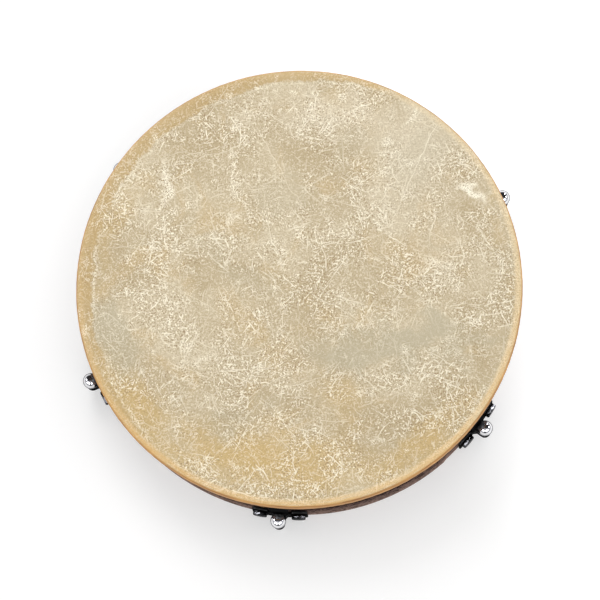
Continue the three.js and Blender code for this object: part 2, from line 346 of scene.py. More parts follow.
def quiet_edge(t, bsdf, level):
    """Satin sheen that fades out at grazing angles, as a dusty or matt-lacquered face does."""
    face = t.new("ShaderNodeLayerWeight"); face.inputs["Blend"].default_value = 0.5
    t.put(bsdf.inputs["Specular IOR Level"], t.smooth(face.outputs["Facing"], 0.45, 0.72, level, 0.0))


def fibre_group():
    """One short curved strand in each Voronoi cell, at a random angle. Lengths are millimetres."""
    g = bpy.data.node_groups.new("fibre_scatter", "ShaderNodeTree")
    for nm, kind in (("Vector", "NodeSocketVector"), ("Scale", "NodeSocketFloat"), ("Length", "NodeSocketFloat"),
                     ("Width", "NodeSocketFloat"), ("Curve", "NodeSocketFloat"), ("Density", "NodeSocketFloat"), ("Seed", "NodeSocketFloat")):
        g.interface.new_socket(nm, in_out="INPUT", socket_type=kind)
    g.interface.new_socket("Value", in_out="OUTPUT", socket_type="NodeSocketFloat")
    t = Tree(g)
    i = t.new("NodeGroupInput").outputs
    p = t.vmath("ADD", i["Vector"], t.vmath("SCALE", (37.13, 91.71, 0.0), scale=i["Seed"]))
    v = t.new("ShaderNodeTexVoronoi", voronoi_dimensions="2D", feature="F1")
    t.put(v.inputs["Vector"], p); t.put(v.inputs["Scale"], i["Scale"]); v.inputs["Randomness"].default_value = 1.0
    d = t.sep(t.vmath("SUBTRACT", p, v.outputs["Position"]))
    c = t.new("ShaderNodeSeparateColor"); t.put(c.inputs[0], v.outputs["Color"])
    r, gr, b = c.outputs[0], c.outputs[1], c.outputs[2]
    th = t.math("MULTIPLY", r, 2 * PI)
    cs, sn = t.math("COSINE", th), t.math("SINE", th)
    u = t.math("ADD", t.math("MULTIPLY", d[0], cs), t.math("MULTIPLY", d[1], sn))
    w = t.math("SUBTRACT", t.math("MULTIPLY", d[1], cs), t.math("MULTIPLY", d[0], sn))
    k = t.math("MULTIPLY", t.math("SUBTRACT", gr, 0.5), i["Curve"])
    w = t.math("ABSOLUTE", t.math("SUBTRACT", w, t.math("MULTIPLY", k, t.math("MULTIPLY", u, u))))
    L = t.math("MULTIPLY", i["Length"], t.math("ADD", 0.45, t.math("MULTIPLY", b, 0.75)))
    wd = t.math("MULTIPLY", i["Width"], t.math("ADD", 0.6, t.math("MULTIPLY", gr, 0.8)))
    ends = t.smooth(t.math("ABSOLUTE", u), t.math("MULTIPLY", L, 0.35), t.math("MULTIPLY", L, 1.15), 1.0, 0.0)
    wd = t.math("MULTIPLY", wd, t.math("ADD", 0.2, ends))         # each strand tapers to its ends
    body = t.smooth(w, t.math("MULTIPLY", wd, 0.2), wd, 1.0, 0.0)
    q = t.math("FRACT", t.math("ADD", t.math("MULTIPLY", gr, 7.31), t.math("MULTIPLY", b, 3.77)))
    on = t.math("LESS_THAN", q, i["Density"])
    s = t.math("FRACT", t.math("ADD", t.math("MULTIPLY", r, 5.17), t.math("MULTIPLY", b, 9.41)))
    lum = t.math("ADD", 0.55, t.math("MULTIPLY", s, 0.45))
    o = t.new("NodeGroupOutput")
    t.put(o.inputs[0], t.math("MULTIPLY", t.math("MULTIPLY", body, ends), t.math("MULTIPLY", on, lum)))
    return g


# ------------------------------------------------------------------ materials
FIBRE = fibre_group()
# film tones, 0 to 255
T_DARK, T_PALE, T_WARM = (189, 171, 137), (207, 192, 162), (202, 178, 135)
T_LIGHT, T_GOLD, T_COOL, T_BAND = (223, 211, 186), (206, 174, 112), (186, 176, 150), (192, 163, 112)
T_PIT, T_WHITE = (146, 118, 84), (255, 248, 228)
T_AMBER, T_RIM, T_WALL_A, T_WALL_B = (222, 172, 92), (246, 226, 186), (208, 154, 84), (158, 106, 50)


def film_material(name):
    m, t, bsdf = material(name)
    p = t.coords()
    s = t.sep(p)
    flat = t.comb(s[0], s[1], 0.0)
    R = t.vmath("LENGTH", flat)
    az = t.math("ARCTAN2", s[1], s[0])
    # on the collar the pattern runs on down the wall
    q = t.vmath("ADD", flat, t.vmath("SCALE", flat, scale=t.math("MULTIPLY", t.math("SUBTRACT", 89.0, s[2]), 0.005)))
    warp = t.vmath("SUBTRACT", t.noise(q, 0.045, 2.0, 0.5, dims="2D", color=True), (0.5, 0.5, 0.5))
    pw = t.vmath("ADD", q, t.vmath("SCALE", warp, scale=7.0))
    wc2 = t.noise(t.vmath("ADD", q, (90.0, 12.0, 0.0)), 0.022, 3.0, 0.6, dims="2D", color=True)
    pw2 = t.vmath("ADD", q, t.vmath("SCALE", t.vmath("SUBTRACT", wc2, (0.5, 0.5, 0.5)), scale=60.0))

    def blob(x, y, a, b, ang, soft=0.45):
        """Soft-edged patch, its edge broken by noise: 0 to 1."""
        c, sn = math.cos(rad(ang)), math.sin(rad(ang))
        d = t.sep(t.vmath("SUBTRACT", pw2, (x, y, 0.0)))
        u = t.math("DIVIDE", t.math("ADD", t.math("MULTIPLY", d[0], c), t.math("MULTIPLY", d[1], sn)), a)
        v = t.math("DIVIDE", t.math("SUBTRACT", t.math("MULTIPLY", d[1], c), t.math("MULTIPLY", d[0], sn)), b)
        e = t.math("SQRT", t.math("ADD", t.math("MULTIPLY", u, u), t.math("MULTIPLY", v, v)))
        return t.smooth(e, soft, 1.25, 1.0, 0.0)

    # slow tone: tan with lighter, golden and cooler clouds; the cool ones hold few fibres
    n1 = t.noise(q, 0.011, 3.0, 0.55, 0.4, dims="2D")
    n2 = t.noise(t.vmath("ADD", q, (311.0, 57.0, 0.0)), 0.02, 4.0, 0.6, 0.6, dims="2D")
    col = t.mix(t.smooth(n1, 0.36, 0.66), lin(*T_DARK), lin(*T_PALE))
    col = t.mix(t.math("MULTIPLY", t.smooth(n2, 0.50, 0.72), 0.6), col, lin(*T_WARM))
    for x, y, a, b, ang, k in ((45, 60, 55, 70, 30, 0.15), (30, 160, 80, 28, 0, 0.75), (100, 120, 60, 60, 20, 0.7), (130, 30, 30, 60, 20, 0.35)):
        col = t.mix(t.math("MULTIPLY", blob(x, y, a, b, ang, 0.1), k), col, lin(*T_LIGHT))
    for x, y, a, b, ang, k in ((-30, -160, 130, 36, -6, 0.75), (-150, -110, 60, 26, -48, 0.65), (110, -150, 70, 22, 38, 0.55), (40, -110, 24, 30, 0, 0.4),
                               (-168, 60, 20, 60, -20, 0.35)):
        col = t.mix(t.math("MULTIPLY", blob(x, y, a, b, ang, 0.1), k), col, lin(*T_GOLD))
    calm = None
    for x, y, a, b, ang, k in ((112, 120, 44, 22, 70, 0.55), (60, 128, 34, 22, 20, 0.35), (-14, 84, 32, 17, -10, 0.5), (-166, -44, 22, 46, 8, 0.65),
                               (80, -54, 76, 24, 6, 0.75), (150, -62, 34, 15, 20, 0.5), (-60, -120, 40, 14, 25, 0.4), (-60, 20, 50, 14, -30, 0.3)):
        c = t.math("MULTIPLY", blob(x, y, a, b, ang), k)
        calm = c if calm is None else t.math("MAXIMUM", calm, c)
    col = t.mix(t.math("MULTIPLY", calm, t.smooth(s[1], 90.0, 20.0, 0.45, 0.95)), col, lin(*T_COOL))

    # a smoother golden band outside the bearing edge, widest at the upper left, with a ragged inner border
    rn = t.noise(t.vmath("ADD", q, (5.0, 400.0, 0.0)), 0.035, 4.0, 0.65, dims="2D")
    wide = t.math("ADD", 2.5, t.math("MULTIPLY", t.smooth(t.math("COSINE", t.math("SUBTRACT", az, rad(152))), -0.15, 0.85), 12.5))
    border = t.math("SUBTRACT", t.math("ADD", 203.0, t.math("MULTIPLY", t.math("SUBTRACT", rn, 0.5), 14.0)), wide)
    outer = t.smooth(R, t.math("SUBTRACT", border, 1.0), t.math("ADD", border, 2.5))
    col = t.mix(t.math("MULTIPLY", outer, 0.75), col, lin(*T_BAND))
    dens = t.noise(t.vmath("ADD", q, (150.0, 250.0, 0.0)), 0.026, 3.0, 0.65, dims="2D")
    dens = t.math("MULTIPLY", t.smooth(dens, 0.38, 0.60, 0.42, 1.0), t.math("SUBTRACT", 1.0, t.math("MULTIPLY", t.math("MAXIMUM", calm, t.math("MULTIPLY", outer, 0.55)), 0.78)))

    # grain: pale flecks and dark pits a millimetre or two across
    g1 = t.noise(pw, 0.74, 2.0, 0.65, dims="2D")
    col = t.mix(t.math("MULTIPLY", t.smooth(g1, 0.47, 0.36), t.math("MULTIPLY", dens, 0.80)), col, lin(*T_PIT))
    fleck = t.smooth(g1, 0.54, 0.70)

    # strands: straight or slightly bowed, from two to forty millimetres long
    fib = None
    for k, (sc, ln, wd, cv, dn, gain) in enumerate((
            (0.46, 0.85, 0.66, 0.20, 0.34, 1.0), (0.36, 1.1, 0.64, 0.20, 0.36, 1.0), (0.26, 1.8, 0.58, 0.14, 0.38, 1.0),
            (0.19, 2.9, 0.52, 0.08, 0.38, 1.0), (0.14, 4.6, 0.50, 0.05, 0.36, 1.0), (0.10, 7.0, 0.48, 0.03, 0.36, 1.0),
            (0.07, 11.0, 0.48, 0.014, 0.36, 1.0), (0.05, 16.0, 0.50, 0.010, 0.4, 1.0),
            (0.030, 27.0, 0.50, 0.005, 0.5, 0.9), (0.021, 42.0, 0.48, 0.003, 0.5, 0.8))):
        f = t.group(FIBRE, Vector=pw, Scale=sc, Length=ln, Width=wd, Curve=cv, Density=dn, Seed=1.0 + 3.7 * k)
        f = t.math("MULTIPLY", f, gain)
        fib = f if fib is None else t.math("MAXIMUM", fib, f)
    white = t.math("MULTIPLY", t.math("MAXIMUM", fib, t.math("MULTIPLY", fleck, 0.26)), dens)
    # matted clumps and the ragged line along the band's inner border
    cl = t.noise(t.vmath("ADD", pw, (9.0, 70.0, 0.0)), 0.05, 5.0, 0.72, dims="2D")
    clump = t.math("MULTIPLY", t.smooth(cl, 0.58, 0.70), t.smooth(g1, 0.46, 0.58))
    white = t.math("MAXIMUM", white, t.math("MULTIPLY", clump, 0.85))
    edge = t.math("MULTIPLY", t.smooth(t.math("ABSOLUTE", t.math("SUBTRACT", R, t.math("SUBTRACT", border, 1.5))), 0.3, 2.2, 1.0, 0.0), t.smooth(g1, 0.42, 0.58))
    white = t.math("MAXIMUM", white, t.math("MULTIPLY", t.math("MULTIPLY", edge, t.smooth(n2, 0.44, 0.58, 0.25, 1.0)), t.smooth(wide, 2.6, 8.0, 0.15, 0.7)))

    def crease(x0, y0, x1, y1, w, k):
        """A long fold line, slightly wavy and broken."""
        dx, dy = x1 - x0, y1 - y0; L = math.hypot(dx, dy); dx /= L; dy /= L
        d = t.sep(t.vmath("SUBTRACT", t.vmath("ADD", q, t.vmath("SCALE", warp, scale=9.0)), (x0, y0, 0.0)))
        u = t.math("ADD", t.math("MULTIPLY", d[0], dx), t.math("MULTIPLY", d[1], dy))
        v = t.math("ABSOLUTE", t.math("SUBTRACT", t.math("MULTIPLY", d[1], dx), t.math("MULTIPLY", d[0], dy)))
        on = t.math("MULTIPLY", t.smooth(u, 0.0, 8.0), t.smooth(u, L - 30.0, L, 1.0, 0.0))
        return t.math("MULTIPLY", t.math("MULTIPLY", t.smooth(v, w * 0.3, w, 1.0, 0.0), on), t.smooth(g1, 0.30, 0.52, k * 0.35, k))
    for c in (crease(126, 152, 84, 60, 0.75, 0.62), crease(100, 108, 76, 20, 0.60, 0.5), crease(-40, 150, 10, 60, 0.5, 0.5), crease(-150, 20, -60, -30, 0.5, 0.5),
              crease(-120, 110, -30, 140, 0.5, 0.6)):
        white = t.math("MAXIMUM", white, c)
    # rubbed white patches
    for x, y, a, b, ang, lo, k in ((158, 92, 14, 8, -25, 0.36, 1.0), (-126, 94, 8, 24, -12, 0.42, 0.95), (-68, 70, 14, 7, 35, 0.44, 0.8), (120, 20, 12, 7, 0, 0.44, 0.8), (-92, -62, 24, 6, 25, 0.46, 0.8)):
        white = t.math("MAXIMUM", white, t.math("MULTIPLY", t.math("MULTIPLY", blob(x, y, a, b, ang, 0.2), t.smooth(g1, lo, lo + 0.14)), k))
    wall = t.smooth(s[2], 87.6, 85.9)                       # 1 on the steep shoulder and the collar
    white = t.math("MULTIPLY", white, t.math("SUBTRACT", 1.0, t.math("MULTIPLY", wall, 0.85)))
    col = t.mix(white, col, lin(*T_WHITE))

    # shoulder and collar: golden to orange-brown, streaked round the rim, darkest at the hem
    streak = t.noise(t.comb(t.math("MULTIPLY", t.math("COSINE", az), 9.0), t.math("MULTIPLY", t.math("SINE", az), 9.0), t.math("MULTIPLY", t.math("SUBTRACT", R, s[2]), 0.55)), 1.0, 3.0, 0.6)
    low = t.smooth(s[1], 40.0, -150.0)                      # the lower side is more golden
    col = t.mix(t.math("MULTIPLY", t.smooth(R, 194.5, 199.0), t.math("MULTIPLY", t.smooth(g1, 0.36, 0.60, 0.5, 1.0), t.line(t.math("COSINE", t.math("SUBTRACT", az, rad(135))), 0.9, -1.0, 0.02, 0.75))), col, lin(*T_RIM))
    near = t.math("MULTIPLY", t.smooth(R, 194.0, 201.5), t.math("ADD", 0.12, t.math("MULTIPLY", low, 0.45)))
    col = t.mix(t.math("MULTIPLY", near, t.smooth(streak, 0.35, 0.60, 0.35, 1.0)), col, lin(*T_AMBER))
    col = t.mix(wall, col, t.mix(t.smooth(streak, 0.38, 0.60), lin(*T_WALL_B), lin(*T_WALL_A)))
    col = t.mix(t.math("MULTIPLY", t.smooth(s[2], 78.0, 75.2), 0.8), col, lin(112, 72, 44))
    t.put(bsdf.inputs["Base Color"], col)
    t.put(bsdf.inputs["Roughness"], t.math("ADD", 0.50, t.math("MULTIPLY", g1, 0.15)))
    bsdf.inputs["Specular IOR Level"].default_value = 0.3
    bump(t, bsdf, t.noise(flat, 0.55, 3.0, 0.6, dims="2D"), 0.25, 0.10)
    return m


def laminate_material():
    """Dark mottled laminate over the shell."""
    m, t, bsdf = material("laminate_dark_mottle")
    p = t.coords(); s = t.sep(p)
    az = t.math("ARCTAN2", s[1], s[0])
    # unrolled coordinates: millimetres round the shell, height
    ring = t.comb(t.math("MULTIPLY", t.math("COSINE", az), 198.5), t.math("MULTIPLY", t.math("SINE", az), 198.5), s[2])
    big = t.noise(ring, 0.045, 4.0, 0.62, 0.8)
    mid = t.noise(t.vmath("ADD", ring, (80.0, 3.0, 11.0)), 0.16, 4.0, 0.66, 1.2)
    fine = t.noise(t.vmath("MULTIPLY", ring, (1.0, 1.0, 0.35)), 0.9, 3.0, 0.6)
    col = t.mix(t.smooth(mid, 0.40, 0.62), lin(46, 37, 35), lin(100, 80, 75))
    col = t.mix(t.smooth(big, 0.50, 0.68, 0.0, 0.7), col, lin(132, 107, 97))
    col = t.mix(t.smooth(fine, 0.55, 0.75, 0.0, 0.5), col, lin(32, 25, 24))
    # lighter, mottled band towards the bottom: painted reflection of the pale floor
    col = t.mix(t.math("MULTIPLY", t.smooth(s[2], 34.0, 2.0), t.smooth(mid, 0.40, 0.56, 0.15, 0.70)), col, lin(168, 142, 130))
    vein = t.smooth(t.math("ABSOLUTE", t.math("SUBTRACT", mid, 0.52)), 0.0, 0.022, 1.0, 0.0)
    col = t.mix(t.math("MULTIPLY", vein, 0.35), col, lin(138, 114, 104))
    t.put(bsdf.inputs["Base Color"], col)
    t.put(bsdf.inputs["Roughness"], t.line(fine, 0.3, 0.7, 0.34, 0.52))
    quiet_edge(t, bsdf, 0.30)
    bump(t, bsdf, t.math("ADD", fine, mid), 0.25, 0.10)
    return m


def shell_material():
    """Laminate outside, bare ply inside and on the edges: chosen by radius and height."""
    m = laminate_material(); m.name = "shell_laminate_and_ply"
    t = Tree(m.node_tree)
    bsdf = [n for n in t.n if n.type == "BSDF_PRINCIPLED"][0]
    dark = bsdf.inputs["Base Color"].links[0].from_socket
    p = t.coords(); s = t.sep(p)
    R = t.vmath("LENGTH", t.comb(s[0], s[1], 0.0))
    ring = t.vmath("MULTIPLY", p, (0.10, 0.10, 1.0))
    g1 = t.noise(ring, 0.55, 4.0, 0.6, 0.8)
    g2 = t.noise(t.vmath("ADD", ring, (5.0, 3.0, 2.0)), 2.2, 3.0, 0.6)
    wood = t.mix(t.smooth(g1, 0.35, 0.68), lin(92, 66, 46), lin(139, 103, 72))
    wood = t.mix(t.smooth(g2, 0.56, 0.78, 0.0, 0.6), wood, lin(62, 42, 30))
    # ply lines on the exposed edges
    ply = t.math("PINGPONG", t.math("ADD", R, t.math("MULTIPLY", g2, 0.25)), 1.16)
    edge = t.mix(t.smooth(ply, 0.45, 0.75), lin(120, 88, 60), lin(70, 48, 34))
    on_edge = t.math("MAXIMUM", t.smooth(s[2], 0.5, 1.0, 1.0, 0.0), t.smooth(s[2], 85.6, 86.2))
    inside = t.smooth(R, 197.2, 197.7, 1.0, 0.0)
    wood = t.mix(on_edge, wood, edge)
    t.put(bsdf.inputs["Base Color"], t.mix(inside, dark, wood))
    return m


def coat_material(name, base, rough, orange=0.6):
    """Black coat: fine orange peel, scattered dust specks, faintly rubbed edges."""
    m, t, bsdf = material(name)
    p = t.coords()
    n1 = t.noise(p, orange, 2.0, 0.5)
    n2 = t.noise(p, 0.12, 4.0, 0.6)
    n3 = t.noise(p, 3.0, 2.0, 0.5)
    col = t.mix(t.smooth(n2, 0.40, 0.70), lin(*base), lin(*[c + 9 for c in base]))
    col = t.mix(t.smooth(n3, 0.68, 0.82, 0.0, 0.30), col, lin(*[c + 40 for c in base]))
    geo = t.new("ShaderNodeNewGeometry")
    worn = t.math("MULTIPLY", t.smooth(geo.outputs["Pointiness"], 0.57, 0.68), t.smooth(n2, 0.50, 0.62))
    col = t.mix(t.math("MULTIPLY", worn, 0.22), col, lin(96, 94, 90))
    t.put(bsdf.inputs["Base Color"], col)
    t.put(bsdf.inputs["Roughness"], t.math("ADD", rough, t.math("MULTIPLY", t.math("SUBTRACT", n2, 0.5), 0.20)))
    quiet_edge(t, bsdf, 0.34)
    bump(t, bsdf, n1, 0.15, 0.04)
    return m


def bolt_material():
    """Black oxide: dark metal with crisp highlights; painted shade in the base colour keeps it dark at grazing angles.
    """
    m, t, bsdf = material("black_bolt_finish")
    p = t.coords()
    n2 = t.noise(p, 0.30, 4.0, 0.6)
    face = t.new("ShaderNodeLayerWeight"); face.inputs["Blend"].default_value = 0.5
    col = t.mix(t.smooth(n2, 0.38, 0.66), lin(66, 66, 68), lin(84, 84, 87))
    # base colour darkened at grazing angles: painted shade that hides the sheen there
    t.put(bsdf.inputs["Base Color"], t.mix(t.smooth(face.outputs["Facing"], 0.45, 0.80), col, lin(22, 22, 24)))
    bsdf.inputs["Metallic"].default_value = 1.0
    bsdf.inputs["Specular Tint"].default_value = (0.12, 0.12, 0.12, 1)
    t.put(bsdf.inputs["Roughness"], t.line(n2, 0.3, 0.7, 0.10, 0.18))
    bump(t, bsdf, t.noise(p, 0.36, 1.0, 0.5), 0.6, 0.22)
    return m


def metal_material(name, base, rough, streak, specks=0.0, rim=None):
    m, t, bsdf = material(name)
    p = t.coords()
    n1 = t.noise(t.vmath("MULTIPLY", p, (1.0, 1.0, 0.15)), streak, 3.0, 0.6)
    n2 = t.noise(p, 0.25, 4.0, 0.6)
    n3 = t.noise(p, 1.7, 3.0, 0.6)
    col = t.mix(t.smooth(n2, 0.35, 0.70), lin(*base), lin(*[max(0, c - 22) for c in base]))
    col = t.mix(t.smooth(n3, 0.64, 0.74, 0.0, specks), col, lin(120, 96, 70))
    if rim:                                                 # painted shade: the base colour darkens towards the outline, a painted dark edge
        face = t.new("ShaderNodeLayerWeight"); face.inputs["Blend"].default_value = 0.5
        col = t.mix(t.smooth(face.outputs["Facing"], 0.52, 0.80), col, lin(*rim))
        bsdf.inputs["Specular Tint"].default_value = (0.35, 0.35, 0.36, 1)
    t.put(bsdf.inputs["Base Color"], col)
    bsdf.inputs["Metallic"].default_value = 1.0
    t.put(bsdf.inputs["Roughness"], t.math("ADD", rough, t.math("MULTIPLY", t.smooth(n1, 0.35, 0.75), rough * 0.8)))
    bump(t, bsdf, n1, 0.12, 0.03)
    return m


def wood_material():
    """Stained hardwood with its grain along the bar."""
    m, t, bsdf = material("bar_hardwood")
    rot = t.new("ShaderNodeMapping"); t.put(rot.inputs["Vector"], t.coords())
    rot.inputs["Rotation"].default_value = (0, 0, rad(-BAR_AZ))
    q = rot.outputs[0]
    g = t.noise(t.vmath("MULTIPLY", q, (0.018, 0.5, 0.7)), 1.0, 4.0, 0.6, 0.7)
    s = t.sep(q)
    rings = t.math("SINE", t.math("MULTIPLY", t.math("ADD", t.math("MULTIPLY", s[1], 0.30), t.math("MULTIPLY", g, 9.0)), 2.2))
    pores = t.noise(t.vmath("MULTIPLY", q, (0.10, 2.6, 2.6)), 1.0, 2.0, 0.55)
    col = t.mix(t.smooth(rings, -0.9, 0.9), lin(92, 58, 36), lin(134, 90, 56))
    col = t.mix(t.smooth(g, 0.4, 0.7, 0.0, 0.5), col, lin(74, 44, 28))
    col = t.mix(t.smooth(pores, 0.60, 0.74, 0.0, 0.7), col, lin(44, 26, 17))
    t.put(bsdf.inputs["Base Color"], col)
    t.put(bsdf.inputs["Roughness"], t.line(pores, 0.3, 0.7, 0.38, 0.56))
    bump(t, bsdf, t.math("SUBTRACT", t.math("MULTIPLY", rings, 0.2), pores), 0.3, 0.12)
    return m


M_FILM = film_material("fibre_film")
M_SHELL = shell_material()
M_BLACK = coat_material("black_powder_coat", (22, 22, 23), 0.34)
M_BOLT = bolt_material()
M_CHROME = metal_material("bright_chrome", (236, 236, 238), 0.03, 0.5, 0.08, (70, 70, 74))
M_ZINC = metal_material("zinc_plate", (186, 188, 190), 0.26, 1.2, 0.25)
M_WOOD = wood_material()


# ------------------------------------------------------------------ shell
def seam(a, r, z):
    """The outer laminate overlaps itself at the seam: a small step that fades out round the shell."""
    if r < SHELL_R - 1.5:
        return (0.0, 0.0)
    d = (SEAM_AZ - math.degrees(a)) % 360.0
    lift = 0.8 * (max(0.0, 1.0 - d / 40.0) if d > 0.4 else d / 0.4)
    return (-0.8 + lift + 0.12 * noise.noise(Vector((math.cos(a) * 3, math.sin(a) * 3, z * 0.01))), 0.0)


r_in = SHELL_R - SHELL_T
shell_prof = fillet([(r_in, 0, 1.2), (SHELL_R, 0, 1.2), (SHELL_R, 12), (SHELL_R, 30), (SHELL_R, 48), (SHELL_R, 66), (SHELL_R, SHELL_H - 0.4, 2.6),
                     (CREST_R, SHELL_H - 0.12, 1.2), (r_in, SHELL_H - 4.4, 0.8), (r_in, 60), (r_in, 40), (r_in, 20)], 5)
shell = lathe("shell_body", shell_prof, off=seam)
cuts = []
for azm in STATIONS:
    for sd in (-1, 1):
        c = radial_z(prism("cut", circle(0, 0, 4.1, 24), 0, 18), r_in - 5, SCREW_Z)
        cuts.append(turn(c, Matrix.Rotation(rad(azm + sd * SCREW_DEG), 4, "Z")))
for sd in (0, 180):
    c = radial_z(prism("cut", circle(0, 0, 2.8, 20), 0, 18), r_in - 5, BAR_Z0 + BAR_T / 2)
    cuts.append(turn(c, Matrix.Rotation(rad(BAR_AZ + sd), 4, "Z")))
boolean(shell, cuts, "DIFFERENCE")
place(shell, "shell_body", "frame", "laminate", M_SHELL, "shell")


# ------------------------------------------------------------------ drumhead
def head_off(a, r, z):
    x, y = r * math.cos(a), r * math.sin(a)
    dz = 0.0; dr = 0.0
    if z > 87.5:
        dz = 0.10 * noise.noise(Vector((x * 0.012, y * 0.012, 2.0))) + 0.05 * noise.noise(Vector((x * 0.05, y * 0.05, 7.0)))
        dz -= 0.16
    if r > 199.0:
        dr = 0.16 * noise.noise(Vector((math.cos(a) * 14, math.sin(a) * 14, z * 0.10))) + 0.07 * math.sin(a * 140 + 4 * noise.noise(Vector((math.cos(a) * 4, math.sin(a) * 4, 0))))
        dr -= 0.2
    return (dr, dz)


def curve(pts, n):
    """Catmull-Rom through the points."""
    out = []
    P = [pts[0]] + list(pts) + [pts[-1]]
    for i in range(1, len(P) - 2):
        p0, p1, p2, p3 = (Vector(P[i - 1]), Vector(P[i]), Vector(P[i + 1]), Vector(P[i + 2]))
        for k in range(n):
            u = k / n
            v = 0.5 * ((2 * p1) + (p2 - p0) * u + (2 * p0 - 5 * p1 + 4 * p2 - p3) * u * u + (3 * p1 - p0 - 3 * p2 + p3) * u ** 3)
            out.append((v.x, v.y))
    out.append(tuple(pts[-1]))
    return out


Z = HEAD_Z
top = [(0.0, Z)] + [(r, Z) for r in [2.5, 6, 11] + [17 + 6 * i for i in range(29)]] + [(190.5, Z), (194.0, Z)]
shoulder = curve([(196.2, Z - 0.02), (198.6, Z - 0.35), (200.9, Z - 1.15), (202.5, Z - 2.4), (203.3, Z - 4.2), (203.4, Z - 7.2), (203.4, Z - 10.5), (203.3, 75.6), (202.9, 74.75), (202.1, 74.6), (201.6, 74.8)], 3)
inner = [(201.55, 75.1), (202.0, 75.2), (202.75, 75.7), (202.9, 78.0), (202.9, 81.5), (202.85, 84.6), (202.1, 86.15), (200.7, 87.3), (198.5, 88.0), (196.2, 88.4), (190, 88.48), (170, 88.5), (140, 88.5), (105, 88.5), (70, 88.5), (40, 88.5), (20, 88.5), (8, 88.5), (0.0, 88.5)]
head = lathe("drumhead", top + shoulder + inner, closed=False, off=head_off, angle=50)
place(head, "drumhead", "head", "film", M_FILM, "head_film")

hoop = lathe("flesh_hoop_band", fillet([(201.2, 75.5, 0.3), (202.2, 75.5, 0.3), (202.2, 83.5, 0.3), (201.2, 83.5, 0.3)], 3))
place(hoop, "flesh_hoop_band", "head", "plain_steel", M_ZINC, "flesh_hoop")

# ------------------------------------------------------------------ tuning ring
ring = lathe("tuning_ring_body", fillet([(RING_R0, RING_Z0, 0.5), (RING_R1, RING_Z0, 0.6), (RING_R1, 83.5, 0.3), (LIP_R, 83.9, 0.25), (LIP_R, RING_Z1, 0.5), (RING_R0, RING_Z1, 0.5)], 3))
parts = []
for azm in STATIONS:
    tab = bend_plate("tab", fillet([(-TAB_W / 2 - 5, 59.0), (TAB_W / 2 + 5, 59.0), (TAB_W / 2 + 5, 57.6), (TAB_W / 2, 52.0, 5.0), (TAB_W / 2, 24.1), (-TAB_W / 2, 24.1), (-TAB_W / 2, 52.0, 5.0), (-TAB_W / 2 - 5, 57.6)], 6),
                     RING_R0 + 0.02, RING_R1 - 0.02, 0.3)
    parts.append(turn(tab, Matrix.Rotation(rad(azm), 4, "Z")))
    w = EAR_W / 2
    o = [(RING_R0 + 0.5, -w), (BOLT_R, -w)] + [(BOLT_R + w * math.sin(PI * k / 20), -w * math.cos(PI * k / 20)) for k in range(1, 20)] + [(BOLT_R, w), (RING_R0 + 0.5, w)]
    ear = prism("ear", o, EAR_Z0, EAR_Z1, 0.45, 3)
    boolean(ear, [prism("cut", circle(BOLT_R, 0, 3.5, 32), EAR_Z0 - 2, EAR_Z1 + 2)], "DIFFERENCE")
    parts.append(turn(ear, Matrix.Rotation(rad(azm), 4, "Z")))
boolean(ring, parts, "UNION")
place(ring, "tuning_ring_body", "head", "black_coat", M_BLACK, "tuning_ring")


# ------------------------------------------------------------------ stations
def chamfered_hex(name, af, h, ch=0.9, top_only=False, a0=0.0, hole=0.0):
    """Hexagon standing on z = 0 with its corners turned off at thirty degrees."""
    ob = prism(name, hexagon(af, a0), 0, h, 0.0)
    R = af / 2 / math.cos(PI / 6)
    c = (R - af / 2 * 0.96) * math.tan(rad(30)) * ch / 0.9 + 0.15
    foot = [(0, -1.0), (R + 0.05, -1.0)] if top_only else [(0, -0.01), (af / 2 * 0.96, -0.01), (R + 0.05, c)]
    prof = foot + [(R + 0.05, h - c), (af / 2 * 0.96, h + 0.005), (0, h + 0.005)]
    cone = lathe("cone", prof, 96, closed=False)
    boolean(ob, [cone], "INTERSECT", 20)
    if hole:
        boolean(ob, [lathe("bore", [(0, -1), (hole + 0.5, -1), (hole + 0.5, 0.0), (hole, 0.5), (hole, h - 0.5), (hole + 0.5, h), (hole + 0.5, h + 1), (0, h + 1)], 40, closed=False)], "DIFFERENCE", 20)
    return ob


def soften(ob, width, seg=2, angle=30):
    """Rounds the sharp edges and applies it."""
    m = ob.modifiers.new("bev", "BEVEL")
    m.width = width * MM; m.segments = seg; m.limit_method = "ANGLE"; m.angle_limit = rad(angle); m.use_clamp_overlap = True
    dg = bpy.context.evaluated_depsgraph_get()
    me = bpy.data.meshes.new_from_object(ob.evaluated_get(dg), depsgraph=dg)
    ob.modifiers.clear(); ob.data = me
    shade(ob, 40)
    return ob


def threaded(name, r, z0, z1, pitch, seg=28, depth=0.32, tip=0.6, per=8):
    """Right-hand thread as real helical geometry, capped flat at both ends."""
    verts, faces, rings = [], [], []
    n = int(round((z1 - z0) / pitch * per))
    for k in range(n + 1):
        z = z0 + (z1 - z0) * k / n
        row = []
        for i in range(seg):
            a = 2 * PI * i / seg
            ph = (z / pitch - a / (2 * PI)) % 1.0
            tri = 1 - abs(2 * ph - 1)
            fade = min(1.0, (z - z0) / tip) if tip else 1.0
            rr = r - depth * (1 - min(1.0, max(0.0, tri * 1.35 - 0.15))) - (1 - fade) * 0.6
            row.append(len(verts)); verts.append((rr * math.cos(a), rr * math.sin(a), z))
        rings.append(row)
    for A, B in zip(rings, rings[1:]):
        for i in range(seg):
            j = (i + 1) % seg
            faces.append((A[i], A[j], B[j], B[i]))
    faces.append(tuple(reversed(rings[0]))); faces.append(tuple(rings[-1]))
    return obj_from(name, verts, faces, 40)


